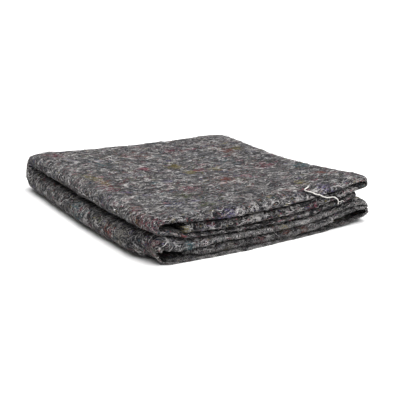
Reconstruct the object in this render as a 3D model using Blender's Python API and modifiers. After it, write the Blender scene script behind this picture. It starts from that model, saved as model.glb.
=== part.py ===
"""A moving blanket of recycled felt, folded into a flat packet.

The blanket is one cloth of 1.5 by 2.0 m. It is doubled both ways into four plies, its
length is folded in thirds with the loose end inside, and the long strip of three panels
is doubled once more, with that last fold at the back. So the packet has six panels of
four plies each: three in the upper half, three in the lower half, joined by one nested
turn along the back.

Frame: x runs along the packet's open front from left to right, y runs to the back,
z is up. The origin is the centre of the packet's box, on the surface it rests on.
Lengths in the tables are in millimetres; everything else is in metres.
"""

import math
from collections import namedtuple

import bmesh
import bpy
from mathutils import Vector

MM = 0.001

# Driving sizes of the packet
PACKET_WIDTH = 0.337
PACKET_DEPTH = 0.386
PACKET_HEIGHT = 0.054
LAYER_GAP = 0.0010
THICKEST_PANEL = 0.013

# Heights of the gaps between the panels, read along the open front. Each row is a
# place along x from the left side. The panels from the top: outer, tucked and under
# in the upper half, then under, tucked and outer again in the lower half.
Level = namedtuple("Level", "x top outer_tucked tucked_under under_under under_tucked tucked_low base_top")
LEVELS = [
    Level(x=20, top=56.0, outer_tucked=50.0, tucked_under=46.0, under_under=37.0, under_tucked=25.0,
          tucked_low=12.0, base_top=8.0),
    Level(x=45, top=55.0, outer_tucked=48.5, tucked_under=36.0, under_under=29.0, under_tucked=15.5,
          tucked_low=5.5, base_top=5.0),
    Level(x=62, top=54.5, outer_tucked=46.0, tucked_under=32.5, under_under=26.0, under_tucked=15.5,
          tucked_low=5.6, base_top=5.0),
    Level(x=88, top=54.0, outer_tucked=42.0, tucked_under=29.5, under_under=24.0, under_tucked=16.5,
          tucked_low=5.8, base_top=5.2),
    Level(x=155, top=53.5, outer_tucked=41.0, tucked_under=28.0, under_under=22.0, under_tucked=14.8,
          tucked_low=5.8, base_top=5.2),
    Level(x=226, top=54.0, outer_tucked=44.0, tucked_under=30.5, under_under=23.5, under_tucked=15.8,
          tucked_low=7.2, base_top=6.0),
    Level(x=275, top=56.5, outer_tucked=48.5, tucked_under=36.5, under_under=28.0, under_tucked=21.5,
          tucked_low=14.5, base_top=8.0),
    Level(x=306, top=58.0, outer_tucked=52.0, tucked_under=41.0, under_under=31.0, under_tucked=25.0,
          tucked_low=18.5, base_top=8.5),
]

# The folds that join two panels at a side, in the upper and the lower half. The reach
# is the outermost place along x, the cloth is the thickness of the strip in the fold,
# and the bulge is the arc's length along x over its half height.
Fold = namedtuple("Fold", "side reach cloth bulge")
UPPER_LEFT_ROLL = Fold(side=-1, reach=0.0, cloth=6.5, bulge=1.3)
UPPER_RIGHT_FOLD = Fold(side=1, reach=331.0, cloth=5.5, bulge=1.3)
LOWER_LEFT_ROLL = Fold(side=-1, reach=-1.0, cloth=7.0, bulge=1.15)
LOWER_RIGHT_FOLD = Fold(side=1, reach=337.0, cloth=5.5, bulge=1.5)

SIDE_FOLDS = {"upper": (UPPER_LEFT_ROLL, UPPER_RIGHT_FOLD), "lower": (LOWER_LEFT_ROLL, LOWER_RIGHT_FOLD)}

# The tucked, outer and under panel of each half, by the gap columns above and below.
PANELS = {
    "upper": (("outer_tucked", "tucked_under"), ("top", "outer_tucked"), ("tucked_under", "under_under")),
    "lower": (("under_tucked", "tucked_low"), ("base_top", None), ("under_under", "under_tucked")),
}

# The loose ends: the tucked panels stop short inside the left rolls, and the under
# panels stop at the right.
TUCKED_START = 42.0
UNDER_END = 321.0

# How far in from a side its outline's wandering reaches.
DRAWN_SPAN = 110.0

# How the packet's outline wanders from front to back. Each row is a place along y from
# the front: how far the left rolls and the right folds are drawn in, and how much the
# top sinks at the left side and at the right side.
Drift = namedtuple("Drift", "y upper_left lower_left upper_right lower_right sink_left sink_right")
DRIFTS = [
    Drift(y=0, upper_left=9, lower_left=22, upper_right=5, lower_right=5, sink_left=1.5, sink_right=-1.5),
    Drift(y=5, upper_left=5, lower_left=15, upper_right=1, lower_right=2, sink_left=1.0, sink_right=-2.0),
    Drift(y=18, upper_left=1, lower_left=4, upper_right=0, lower_right=0, sink_left=0.0, sink_right=-2.5),
    Drift(y=75, upper_left=0, lower_left=-1, upper_right=3, lower_right=3, sink_left=0.0, sink_right=-1.0),
    Drift(y=165, upper_left=2, lower_left=-2, upper_right=14, lower_right=10, sink_left=0.5, sink_right=2.5),
    Drift(y=260, upper_left=1, lower_left=0, upper_right=13, lower_right=10, sink_left=0.5, sink_right=3.5),
    Drift(y=350, upper_left=2, lower_left=1, upper_right=10, lower_right=8, sink_left=0.5, sink_right=4.0),
]

# The last fold along the back: its steps, and how far it is drawn in at the right side.
BACK_STEPS = 8
BACK_DRAWN_IN = 13.0

# Points round one side fold, and how far they sweep to each side of its middle.
FOLD_STEPS = 4
FOLD_SWEEP = math.radians(72)

# The strip's rims are thinner than its panels, which rounds them: at the open front of
# each half, and at the loose ends.
RIM_SHARE = {"upper": 0.55, "lower": 0.75}
LOOSE_END_SHARE = 0.7

FELT_COLOUR = (0.155, 0.148, 0.145, 1.0)
FELT_ROUGHNESS = 0.95
THREAD_COLOUR = (0.62, 0.60, 0.56, 1.0)
THREAD_ROUGHNESS = 0.85

# One loose tail of the edging thread. It leaves the front edge near the right side,
# climbs over the tucked panel and the rim of the outer panel, and lies on top in a
# small hook. Each point is a place along x, y and z in millimetres.
THREAD_DIAMETER = 0.0016
THREAD_ROUTE = [
    (277.0, -0.9, 33.3), (277.7, -0.6, 36.4), (276.8, -0.2, 39.2), (274.0, -0.6, 41.8),
    (269.5, -0.7, 44.2), (264.3, -0.7, 44.6), (259.3, -0.6, 45.0), (254.5, -0.4, 46.6),
    (250.0, -0.5, 48.6), (245.5, -0.9, 50.9), (241.0, -0.9, 52.0), (237.6, -0.3, 53.8),
    (235.2, 1.4, 55.3), (231.8, 4.0, 56.1), (229.8, 7.6, 56.7), (232.0, 11.3, 57.1),
    (237.0, 13.8, 57.4), (241.0, 16.5, 57.6), (243.7, 19.6, 57.7),
]
THREAD_SPACING = 0.0036
STEPS_BETWEEN_POINTS = 12


def clear_scene():
    """Remove every object, so that the script can be run again."""
    for old in list(bpy.data.objects):
        bpy.data.objects.remove(old, do_unlink=True)


def new_collection(name):
    collection = bpy.data.collections.new(name)
    bpy.context.scene.collection.children.link(collection)
    return collection


def plain_material(name, colour, roughness):
    material = bpy.data.materials.new(name)
    material.use_nodes = True
    shader = material.node_tree.nodes["Principled BSDF"]
    shader.inputs["Base Color"].default_value = colour
    shader.inputs["Roughness"].default_value = roughness
    shader.inputs["Metallic"].default_value = 0.0
    return material


def read_table(rows, key, place, column):
    """The value of a column at a place, in even proportion between the rows beside it."""
    first, last = rows[0], rows[-1]
    if place <= getattr(first, key):
        return getattr(first, column)
    for low, high in zip(rows, rows[1:]):
        start, end = getattr(low, key), getattr(high, key)
        if place <= end:
            share = (place - start) / (end - start)
            return getattr(low, column) * (1 - share) + getattr(high, column) * share
    return getattr(last, column)


def drawn(x, y, half):
    """Where a place along x lies at y, once the side outlines are drawn in there."""
    width = PACKET_WIDTH / MM
    left = read_table(DRIFTS, "y", y, half + "_left")
    right = read_table(DRIFTS, "y", y, half + "_right")
    near_left = max(0.0, 1 - x / DRAWN_SPAN)
    near_right = max(0.0, 1 - (width - x) / DRAWN_SPAN)
    return x + left * near_left ** 2 - right * near_right ** 2


def sunk(x, y, z):
    """A height at (x, y), once the top has sunk there."""
    share = x / (PACKET_WIDTH / MM)
    sink_left = read_table(DRIFTS, "y", y, "sink_left")
    sink_right = read_table(DRIFTS, "y", y, "sink_right")
    return z * (1 - (sink_left * (1 - share) + sink_right * share) / (PACKET_HEIGHT / MM))


def panel_point(x, y, half, above, below):
    """Middle place and thickness of the panel that lies between two gap columns."""
    place = drawn(x, y, half)
    gap = LAYER_GAP / MM / 2
    upper = sunk(place, y, read_table(LEVELS, "x", place, above)) - (0.0 if above == "top" else gap)
    lower = sunk(place, y, read_table(LEVELS, "x", place, below)) + gap if below else 0.0
    return place, (upper + lower) / 2, upper - lower


def fold_arc(fold, start, end, y, half):
    """Points round a side fold, from one panel's end to the next panel's end."""
    middle_z = (start[1] + end[1]) / 2
    height = (start[1] - end[1]) / 2
    across = abs(height) * fold.bulge
    middle_x = drawn(fold.reach, y, half) - fold.side * (across + fold.cloth / 2)
    points = []
    for step in range(FOLD_STEPS):
        angle = FOLD_SWEEP * (1 - 2 * step / (FOLD_STEPS - 1))
        x = middle_x + fold.side * across * math.cos(angle)
        points.append((x, middle_z + height * math.sin(angle), fold.cloth))
    return points


def half_section(y, half):
    """The middle line of one half's three panels at y, as (x, z, thickness) in mm.

    It starts at the tucked loose end at the left, runs right, turns, runs left along
    the outer panel, turns again and ends at the under panel's loose end at the right.
    """
    tucked, outer, under = PANELS[half]
    left_roll, right_fold = SIDE_FOLDS[half]
    places = [row.x for row in LEVELS]
    tucked_places = [TUCKED_START] + [x for x in places if x > TUCKED_START]
    tucked_run = [panel_point(x, y, half, *tucked) for x in tucked_places]
    outer_run = [panel_point(x, y, half, *outer) for x in reversed(places)]
    under_run = [panel_point(x, y, half, *under) for x in places + [UNDER_END]]
    points = tucked_run
    points += fold_arc(right_fold, tucked_run[-1], outer_run[0], y, half)
    points += outer_run
    points += fold_arc(left_roll, outer_run[-1], under_run[0], y, half)
    points += under_run
    for end in (0, -1):
        x, z, cloth = points[end]
        points[end] = (x, z, cloth * LOOSE_END_SHARE)
    return points


def back_centre(x):
    """Where along y the last fold turns, for a place along x."""
    share = x / (PACKET_WIDTH / MM)
    return (PACKET_DEPTH - PACKET_HEIGHT / 2) / MM - BACK_DRAWN_IN * share * share


def straight_row(y, half):
    """One row of the strip across the packet: the rear row lies where the turn starts."""
    row = []
    rim = RIM_SHARE[half] if y == 0 else 1.0
    for x, z, cloth in half_section(y, half):
        depth = back_centre(x) * y / DRIFTS[-1].y
        row.append((Vector((x, depth, z)) * MM, cloth * rim * MM))
    return row


def turned_row(angle):
    """One row of the strip in the last fold, where upper and lower half meet."""
    y = DRIFTS[-1].y
    share = (1 + math.sin(angle)) / 2
    row = []
    for high, low in zip(half_section(y, "upper"), half_section(y, "lower")):
        x, _, cloth = (b + (a - b) * share for a, b in zip(high, low))
        radius = (high[1] - low[1]) / 2
        height = (high[1] + low[1]) / 2
        place = Vector((x, back_centre(x) + radius * math.cos(angle), height + radius * math.sin(angle)))
        row.append((place * MM, cloth * MM))
    return row


def strip_rows():
    """Rows of (place, thickness): along the upper half, over the back, along the lower."""
    rows = [straight_row(row.y, "upper") for row in DRIFTS]
    for step in range(1, BACK_STEPS):
        rows.append(turned_row(math.pi / 2 - math.pi * step / BACK_STEPS))
    rows += [straight_row(row.y, "lower") for row in reversed(DRIFTS)]
    return rows


def folded_felt(collection, material):
    """The whole blanket: the middle surface of the folded strip, then its thickness."""
    shape = bmesh.new()
    rows = strip_rows()
    grid = [[shape.verts.new(place) for place, _ in row] for row in rows]
    for near, far in zip(grid, grid[1:]):
        for corner in range(len(near) - 1):
            shape.faces.new((near[corner], near[corner + 1], far[corner + 1], far[corner]))
    bmesh.ops.recalc_face_normals(shape, faces=shape.faces)
    mesh = bpy.data.meshes.new("blanket")
    shape.to_mesh(mesh)
    shape.free()
    blanket = bpy.data.objects.new("blanket", mesh)
    collection.objects.link(blanket)
    mesh.materials.append(material)

    loft = blanket.vertex_groups.new(name="loft")
    flat_list = [cloth for row in rows for _, cloth in row]
    for index, cloth in enumerate(flat_list):
        loft.add([index], cloth / THICKEST_PANEL, "REPLACE")
    wall = blanket.modifiers.new("Thickness", "SOLIDIFY")
    wall.thickness = THICKEST_PANEL
    wall.offset = 0.0
    wall.vertex_group = loft.name
    wall.use_even_offset = True
    soften = blanket.modifiers.new("Soften", "SUBSURF")
    soften.levels = 1
    soften.render_levels = 1
    mesh.shade_smooth()
    return blanket


def smooth_route(points, spacing):
    """Evenly spaced places on a smooth curve through the route's own points."""
    dense = []
    last = len(points) - 1
    for index in range(last):
        before = points[max(index - 1, 0)]
        start, end = points[index], points[index + 1]
        after = points[min(index + 2, last)]
        for step in range(STEPS_BETWEEN_POINTS):
            t = step / STEPS_BETWEEN_POINTS
            dense.append(0.5 * (2 * start + (end - before) * t
                                + (2 * before - 5 * start + 4 * end - after) * t ** 2
                                + (3 * start - before - 3 * end + after) * t ** 3))
    dense.append(points[-1])
    travelled = [0.0]
    for near, far in zip(dense, dense[1:]):
        travelled.append(travelled[-1] + (far - near).length)
    count = round(travelled[-1] / spacing)
    places = []
    piece = 0
    for index in range(count + 1):
        target = travelled[-1] * index / count
        while piece < len(dense) - 2 and travelled[piece + 1] < target:
            piece += 1
        share = (target - travelled[piece]) / (travelled[piece + 1] - travelled[piece])
        places.append(dense[piece].lerp(dense[piece + 1], share))
    return places


def thread_tail(collection, material):
    """The loose tail of edging thread, a thin round cord."""
    route = [Vector(point) * MM for point in THREAD_ROUTE]
    places = smooth_route(route, THREAD_SPACING)
    curve = bpy.data.curves.new("thread_tail", "CURVE")
    curve.dimensions = "3D"
    curve.bevel_depth = THREAD_DIAMETER / 2
    curve.bevel_resolution = 2
    curve.use_fill_caps = True
    spline = curve.splines.new("POLY")
    spline.points.add(len(places) - 1)
    for point, place in zip(spline.points, places):
        point.co = (*place, 1.0)
    curve.materials.append(material)
    thread = bpy.data.objects.new("thread_tail", curve)
    collection.objects.link(thread)
    return thread


def bottom_centre(piece):
    """The middle of the lowest face of a finished piece's box."""
    bpy.context.view_layer.update()
    mesh = piece.evaluated_get(bpy.context.evaluated_depsgraph_get()).data
    low = Vector([min(vertex.co[axis] for vertex in mesh.vertices) for axis in range(3)])
    high = Vector([max(vertex.co[axis] for vertex in mesh.vertices) for axis in range(3)])
    return Vector(((low.x + high.x) / 2, (low.y + high.y) / 2, low.z))


def main():
    clear_scene()
    packet = new_collection("moving_blanket")
    felt = plain_material("recycled_felt", FELT_COLOUR, FELT_ROUGHNESS)
    edging = plain_material("edging_thread", THREAD_COLOUR, THREAD_ROUGHNESS)
    blanket = folded_felt(packet, felt)
    thread = thread_tail(packet, edging)
    origin = bottom_centre(blanket)
    blanket.location = -origin
    thread.location = -origin


main()
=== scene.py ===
# %% [markdown]
# A moving blanket, folded into a flat packet. The real one is a single cut of felt, 1.5 by
# 2.0 m, made of shredded, mixed fibres that rows of stitches hold together, with an
# overlocked edge all round. This lesson starts from the packet's plain solids, which come
# in as a fixed frame. Then it takes a flat cloth of the true size, folds it by a rule onto
# those solids, sews its edge, and lays loose fibres over it.

# %% Load the solids as a fixed frame
import math
from collections import namedtuple

import bmesh
import bpy
import numpy as np
from mathutils import Matrix, Vector


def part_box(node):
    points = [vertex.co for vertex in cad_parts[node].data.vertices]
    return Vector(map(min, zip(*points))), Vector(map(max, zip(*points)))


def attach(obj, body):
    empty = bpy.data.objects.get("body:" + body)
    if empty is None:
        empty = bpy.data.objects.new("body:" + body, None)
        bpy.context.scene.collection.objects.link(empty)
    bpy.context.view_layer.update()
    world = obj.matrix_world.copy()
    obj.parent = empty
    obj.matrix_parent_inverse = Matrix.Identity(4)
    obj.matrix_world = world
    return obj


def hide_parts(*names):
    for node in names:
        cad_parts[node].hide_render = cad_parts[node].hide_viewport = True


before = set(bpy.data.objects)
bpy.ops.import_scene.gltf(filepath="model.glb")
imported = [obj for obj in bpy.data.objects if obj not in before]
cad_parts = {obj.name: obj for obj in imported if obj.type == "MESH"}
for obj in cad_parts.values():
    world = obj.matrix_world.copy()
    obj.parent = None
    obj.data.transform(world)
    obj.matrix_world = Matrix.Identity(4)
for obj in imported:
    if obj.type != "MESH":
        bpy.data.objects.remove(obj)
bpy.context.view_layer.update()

blanket_low, blanket_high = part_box("blanket")
blanket_spans = [round(high - low, 4) for low, high in zip(blanket_low, blanket_high)]
print("the blanket's solid spans", blanket_spans, "m")

# %% [markdown]
# The camera comes first. A long lens was used from 1.3 m away, turned to the packet's front
# left corner and tilted down a little. The lens follows from how many pixels one radian takes
# up in the middle of the picture.

# %% Set up the camera
PICTURE_SIDE = 400
PIXELS_PER_RADIAN = 900
SENSOR_WIDTH = 36.0
CAMERA_PLACE = (-0.6152, -1.0476, 0.3700)
CAMERA_TILT_DOWN = math.radians(16.65)
CAMERA_TURN = math.radians(31.23)


def add_object(name, data):
    """A new object that holds this data, linked into the scene."""
    thing = bpy.data.objects.new(name, data)
    bpy.context.scene.collection.objects.link(thing)
    return thing


camera_lens = bpy.data.cameras.new("camera")
camera_lens.sensor_width = SENSOR_WIDTH
camera_lens.lens = PIXELS_PER_RADIAN / PICTURE_SIDE * SENSOR_WIDTH
camera = add_object("camera", camera_lens)
camera.location = CAMERA_PLACE
camera.rotation_euler = (math.pi / 2 - CAMERA_TILT_DOWN, 0.0, -CAMERA_TURN)
bpy.context.scene.camera = camera
print("camera lens", camera_lens.lens, "mm")

# %% [markdown]
# A studio for a packshot is a pale floor without a visible end and large soft lights. Both
# lamps are suns, so their light is even, and a wide angle makes it soft. The strong one
# stands almost overhead, so the top is the brightest face and the front falls off. The weak
# one fills the front. The sky is plain white and weak, so the gaps between the layers still
# go nearly black. Standard shows colours as they are, and the look adds some contrast.

# %% Lay the floor and hang the lights
FLOOR_RADIUS = 6.0
FLOOR_COLOUR = (0.90, 0.90, 0.90, 1.0)
FLOOR_ROUGHNESS = 0.9
SKY_COLOUR = (1.0, 1.0, 1.0, 1.0)
SKY_STRENGTH = 0.29
CONTRAST_LOOK = "High Contrast"
LAMP_DISTANCE = 2.0
Lamp = namedtuple("Lamp", "name heading spread power")
LAMPS = [
    Lamp(name="overhead", heading=(-0.08, 0.12, -1.0), spread=80.0, power=2.9),
    Lamp(name="front_fill", heading=(-0.42, 1.0, -0.55), spread=50.0, power=0.65),
]


def hang_lamp(lamp):
    """A far, wide and soft lamp that shines along its heading."""
    light = bpy.data.lights.new(lamp.name, "SUN")
    light.angle = math.radians(lamp.spread)
    light.energy = lamp.power
    holder = add_object(lamp.name, light)
    holder.location = Vector(lamp.heading) * -LAMP_DISTANCE
    holder.rotation_euler = Vector(lamp.heading).to_track_quat("-Z", "Y").to_euler()


def new_material(name):
    """A new material with its node tree and its Principled shader."""
    material = bpy.data.materials.new(name)
    material.use_nodes = True
    return material, material.node_tree, material.node_tree.nodes["Principled BSDF"]


def taken_mesh(name, shape):
    """A mesh with what a bmesh holds, which is then freed."""
    mesh = bpy.data.meshes.new(name)
    shape.to_mesh(mesh)
    shape.free()
    return mesh


for lamp in LAMPS:
    hang_lamp(lamp)

sky = bpy.data.worlds.new("studio")
sky.use_nodes = True
sky_light = sky.node_tree.nodes["Background"]
sky_light.inputs["Color"].default_value = SKY_COLOUR
sky_light.inputs["Strength"].default_value = SKY_STRENGTH
bpy.context.scene.world = sky
bpy.context.scene.view_settings.view_transform = "Standard"
bpy.context.scene.view_settings.look = CONTRAST_LOOK

floor_shape = bmesh.new()
bmesh.ops.create_circle(floor_shape, cap_ends=True, segments=96, radius=FLOOR_RADIUS)
floor = add_object("floor", taken_mesh("floor", floor_shape))
floor_paint, _, floor_shader = new_material("floor_paint")
floor_shader.inputs["Base Color"].default_value = FLOOR_COLOUR
floor_shader.inputs["Roughness"].default_value = FLOOR_ROUGHNESS
floor.data.materials.append(floor_paint)
print(len(LAMPS), "lamps and a floor of", FLOOR_RADIUS, "m")

# %% [markdown]
# Now the one loose cord: a tail of the edging thread. It leaves the front edge near the right
# side, climbs over two stacks of cloth and ends in a small hook on top. Its places are listed
# below. A spun thread is three strands twisted together, so its cross-section is an outline
# with three lobes, and each point on the route turns that outline a bit further. The curve is
# then made a mesh, because its outline is an object of its own.

# %% Spin the loose thread
MM = 0.001
SECTION_ORIGIN = Vector((-0.166923, -0.192565, 0.0))
THREAD_DIAMETER = 0.0019
THREAD_LOBES = 3
THREAD_LOBE_DEPTH = 0.22
THREAD_TURN_LENGTH = 0.0075
THREAD_STEP = 0.0008
CURVE_STEPS = 16
CORNERS_PER_LOBE = 4
WELD_DISTANCE = 1e-6
THREAD_ROUTE = [
    (277.0, -0.9, 33.3), (277.7, -0.6, 36.4), (276.8, -0.2, 39.2), (274.0, -0.6, 41.8),
    (269.5, -0.7, 44.2), (264.3, -0.7, 44.6), (259.3, -0.6, 45.0), (254.5, -0.4, 46.6),
    (250.0, -0.5, 48.6), (245.5, -0.9, 50.9), (241.0, -0.9, 52.0), (237.6, -0.3, 53.8),
    (235.2, 1.4, 55.3), (231.8, 4.0, 56.1), (229.8, 7.6, 56.7), (232.0, 11.3, 57.1),
    (237.0, 13.8, 57.4), (241.0, 16.5, 57.6), (243.7, 19.6, 57.7),
]
BRANCH_ROUTE = [
    (277.4, -1.3, 36.8), (280.0, -2.0, 37.0), (282.6, -2.0, 37.6), (284.6, -1.7, 37.2),
    (286.6, -1.2, 35.4),
]
BRANCH_DIAMETER = 0.0010


def smooth_places(points, step):
    """Places a step apart on a smooth curve through the points, in metres."""
    points = np.array(points, float) * MM + np.array(SECTION_ORIGIN)
    before = np.vstack([points[:1], points[:-2]])
    start, end = points[:-1], points[1:]
    after = np.vstack([points[2:], points[-1:]])
    t = np.linspace(0, 1, CURVE_STEPS, endpoint=False)[None, :, None]
    start, end, before, after = (row[:, None, :] for row in (start, end, before, after))
    dense = 0.5 * (2 * start + (end - before) * t
                   + (2 * before - 5 * start + 4 * end - after) * t ** 2
                   + (3 * start - before - 3 * end + after) * t ** 3)
    dense = np.vstack([dense.reshape(-1, 3), points[-1:]])
    travelled = np.concatenate([[0], np.cumsum(np.linalg.norm(np.diff(dense, axis=0), axis=1))])
    even = np.linspace(0, travelled[-1], max(int(travelled[-1] / step), 4) + 1)
    return np.stack([np.interp(even, travelled, dense[:, axis]) for axis in range(3)], axis=1)


def lobed_outline(diameter):
    """A flat closed curve with round lobes, the cross-section of a twisted thread."""
    outline = bpy.data.curves.new("thread_outline", "CURVE")
    spline = outline.splines.new("POLY")
    corners = THREAD_LOBES * CORNERS_PER_LOBE
    spline.points.add(corners - 1)
    for index, corner in enumerate(spline.points):
        angle = 2 * math.pi * index / corners
        sunken = THREAD_LOBE_DEPTH * (0.5 - 0.5 * math.cos(THREAD_LOBES * angle))
        radius = diameter / 2 * (1 - sunken)
        corner.co = (radius * math.cos(angle), radius * math.sin(angle), 0.0, 1.0)
    spline.use_cyclic_u = True
    return outline


def finished_mesh(thing):
    """The mesh that an object shows with all that is set on it, which is then removed."""
    mesh = bpy.data.meshes.new_from_object(thing.evaluated_get(bpy.context.evaluated_depsgraph_get()))
    bpy.data.objects.remove(thing)
    return mesh


def spun_thread(name, route, diameter):
    """A twisted thread along a route, as a mesh, and the places that it follows."""
    places = smooth_places(route, THREAD_STEP)
    outline = add_object("thread_outline", lobed_outline(diameter))
    line = bpy.data.curves.new(name + "_line", "CURVE")
    line.dimensions = "3D"
    line.bevel_mode = "OBJECT"
    line.bevel_object = outline
    line.use_fill_caps = True
    spline = line.splines.new("POLY")
    spline.points.add(len(places) - 1)
    for index, (point, place) in enumerate(zip(spline.points, places)):
        point.co = (*place, 1.0)
        point.tilt = 2 * math.pi * index * THREAD_STEP / THREAD_TURN_LENGTH
    mesh = finished_mesh(add_object(name + "_guide", line))
    mesh.name = name
    bpy.data.objects.remove(outline)
    shape = bmesh.new()
    shape.from_mesh(mesh)
    bmesh.ops.remove_doubles(shape, verts=shape.verts, dist=WELD_DISTANCE)
    shape.to_mesh(mesh)
    shape.free()
    mesh.shade_smooth()
    return add_object(name, mesh), places


thread, thread_places = spun_thread("loose_thread", THREAD_ROUTE, THREAD_DIAMETER)
branch, _ = spun_thread("thread_branch", BRANCH_ROUTE, BRANCH_DIAMETER)

# %% [markdown]
# The packet's folds, as a maker would sketch them: heights of the gaps between the stacks
# along the open front, the folds at the two sides, and how the outline wanders towards the
# back. The upper half holds three stacks and the lower half three more, and each stack is
# four plies of the one cloth. Sizes are in millimetres, from the front left lower corner.

# %% Write down the folds
Level = namedtuple("Level", "x top outer_tucked tucked_under under_under under_tucked tucked_low "
                            "base_top")
LEVELS = [
    Level(20, 56.0, 50.0, 46.0, 37.0, 25.0, 12.0, 8.0),
    Level(45, 55.0, 48.5, 36.0, 29.0, 15.5, 5.5, 5.0),
    Level(62, 54.5, 46.0, 32.5, 26.0, 15.5, 5.6, 5.0),
    Level(88, 54.0, 42.0, 29.5, 24.0, 16.5, 5.8, 5.2),
    Level(155, 53.5, 41.0, 28.0, 22.0, 14.8, 5.8, 5.2),
    Level(226, 54.0, 44.0, 30.5, 23.5, 15.8, 7.2, 6.0),
    Level(275, 56.5, 48.5, 36.5, 29.0, 24.0, 14.5, 7.5),
    Level(306, 58.0, 52.0, 42.5, 37.0, 26.5, 18.0, 8.0),
]
Fold = namedtuple("Fold", "side reach cloth bulge")
SIDE_FOLDS = {
    "upper": (Fold(-1, 0.0, 6.5, 1.3), Fold(1, 331.0, 5.5, 1.3)),
    "lower": (Fold(-1, -1.0, 7.0, 1.15), Fold(1, 337.0, 5.5, 1.5)),
}
PANELS = {
    "upper": (("outer_tucked", "tucked_under"), ("top", "outer_tucked"), ("tucked_under", "under_under")),
    "lower": (("under_tucked", "tucked_low"), ("base_top", None), ("under_under", "under_tucked")),
}
Drift = namedtuple("Drift", "y upper_left lower_left upper_right lower_right sink_left sink_right")
DRIFTS = [
    Drift(0, 9, 1, 3, 4, 1.5, -1.5),
    Drift(5, 5, 0, -1, 1, 1.0, -2.0),
    Drift(18, 1, -2, -2, -2, 0.0, -2.5),
    Drift(75, 0, -4, 3, 3, 0.0, -1.0),
    Drift(165, 2, -7, 14, 10, 0.0, 2.5),
    Drift(260, 1, -5, 9, 8, -1.5, 3.0),
    Drift(350, 1, -2, 3, 4, -1.8, 3.3),
]
SeamDrop = namedtuple("SeamDrop", "y drop")
SEAM_DROPS = [
    SeamDrop(0, 0.0), SeamDrop(35, -1.0), SeamDrop(80, 4.5),
    SeamDrop(110, 8.0), SeamDrop(260, 9.0), SeamDrop(350, 5.0),
]
SEAM_SHARES = {"outer_tucked": 0.4, "tucked_under": 0.75, "under_under": 1.0, "under_tucked": 0.6}
PACKET_WIDTH, PACKET_DEPTH, PACKET_HEIGHT = 337.0, 386.0, 54.0
LAYER_GAP = 1.0
TUCKED_START = 50.0
UNDER_MIDDLE, UNDER_END = 314.0, 321.0
UnderEnd = namedtuple("UnderEnd", "y upper lower upper_drop lower_drop")
UNDER_ENDS = [
    UnderEnd(0, 309, 332, 1.0, 13.0), UnderEnd(20, 311, 330, 1.0, 11.0),
    UnderEnd(80, 321, 321, 0.0, 0.0),
]
DRAWN_SPAN = 110.0
BACK_STEPS, BACK_DRAWN_IN = 8, 13.0
FOLD_STEPS, FOLD_SWEEP = 4, math.radians(72)


def read_table(rows, key, place, column):
    """The value of a column at a place, in even proportion between the rows beside it."""
    keys = [getattr(row, key) for row in rows]
    return float(np.interp(place, keys, [getattr(row, column) for row in rows]))


def drawn(x, y, half):
    """Where a place along x lies at y, once the side outlines are drawn in there."""
    near_left = max(0.0, 1 - x / DRAWN_SPAN)
    near_right = max(0.0, 1 - (PACKET_WIDTH - x) / DRAWN_SPAN)
    left = read_table(DRIFTS, "y", y, half + "_left")
    right = read_table(DRIFTS, "y", y, half + "_right")
    return x + left * near_left ** 2 - right * near_right ** 2


def sunk(x, y, z):
    """A height at (x, y), once the top has sunk there."""
    share = x / PACKET_WIDTH
    sink_left = read_table(DRIFTS, "y", y, "sink_left")
    sink_right = read_table(DRIFTS, "y", y, "sink_right")
    return z * (1 - (sink_left * (1 - share) + sink_right * share) / PACKET_HEIGHT)


def level_at(x, y, column):
    """Height of a gap at (x, y), with the seam between the two rolls lower along the left side."""
    near_left = max(0.0, 1 - x / DRAWN_SPAN)
    drop = read_table(SEAM_DROPS, "y", y, "drop") * SEAM_SHARES.get(column, 0.0) * near_left ** 2
    return sunk(x, y, read_table(LEVELS, "x", x, column) - drop)


def panel_point(x, y, half, above, below):
    """Middle place and thickness of the stack that lies between two gap columns."""
    place = drawn(x, y, half)
    upper = level_at(place, y, above) - (0.0 if above == "top" else LAYER_GAP / 2)
    lower = level_at(place, y, below) + LAYER_GAP / 2 if below else 0.0
    return place, (upper + lower) / 2, upper - lower


def fold_arc(fold, start, end, y, half):
    """Points round a side fold, from one stack's end to the next stack's end."""
    middle_z, height = (start[1] + end[1]) / 2, (start[1] - end[1]) / 2
    across = abs(height) * fold.bulge
    middle_x = drawn(fold.reach, y, half) - fold.side * (across + fold.cloth / 2)
    angles = [FOLD_SWEEP * (1 - 2 * step / (FOLD_STEPS - 1)) for step in range(FOLD_STEPS)]
    return [(middle_x + fold.side * across * math.cos(angle),
             middle_z + height * math.sin(angle), fold.cloth) for angle in angles]


def under_point(x, y, half):
    """A point of the stack underneath, whose loose end reaches further or less far at the front."""
    start = LEVELS[-2].x
    end = read_table(UNDER_ENDS, "y", y, half)
    share = max(x - start, 0.0) / (UNDER_END - start)
    reached = min(x, start) + share * (end - start)
    place, height, cloth = panel_point(reached, y, half, *PANELS[half][2])
    return place, height - read_table(UNDER_ENDS, "y", y, half + "_drop") * share ** 3, cloth


places_along = [row.x for row in LEVELS]
tucked_along = [TUCKED_START] + [x for x in places_along if x > TUCKED_START]
under_along = places_along + [UNDER_MIDDLE, UNDER_END]
section_points = len(tucked_along) + len(places_along) + len(under_along) + 2 * FOLD_STEPS
print("a section has", section_points, "points")

# %% [markdown]
# A section through one half is a line that runs right along the tucked stack, turns, runs
# left along the outer stack, turns, and ends at the right of the stack underneath. Such
# sections, one behind the other and then back again along the lower half, make a net of
# points. A soft spline surface through the net gives the middle of the folded strip at any
# place, and the strip's thickness and facing with it.

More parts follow.
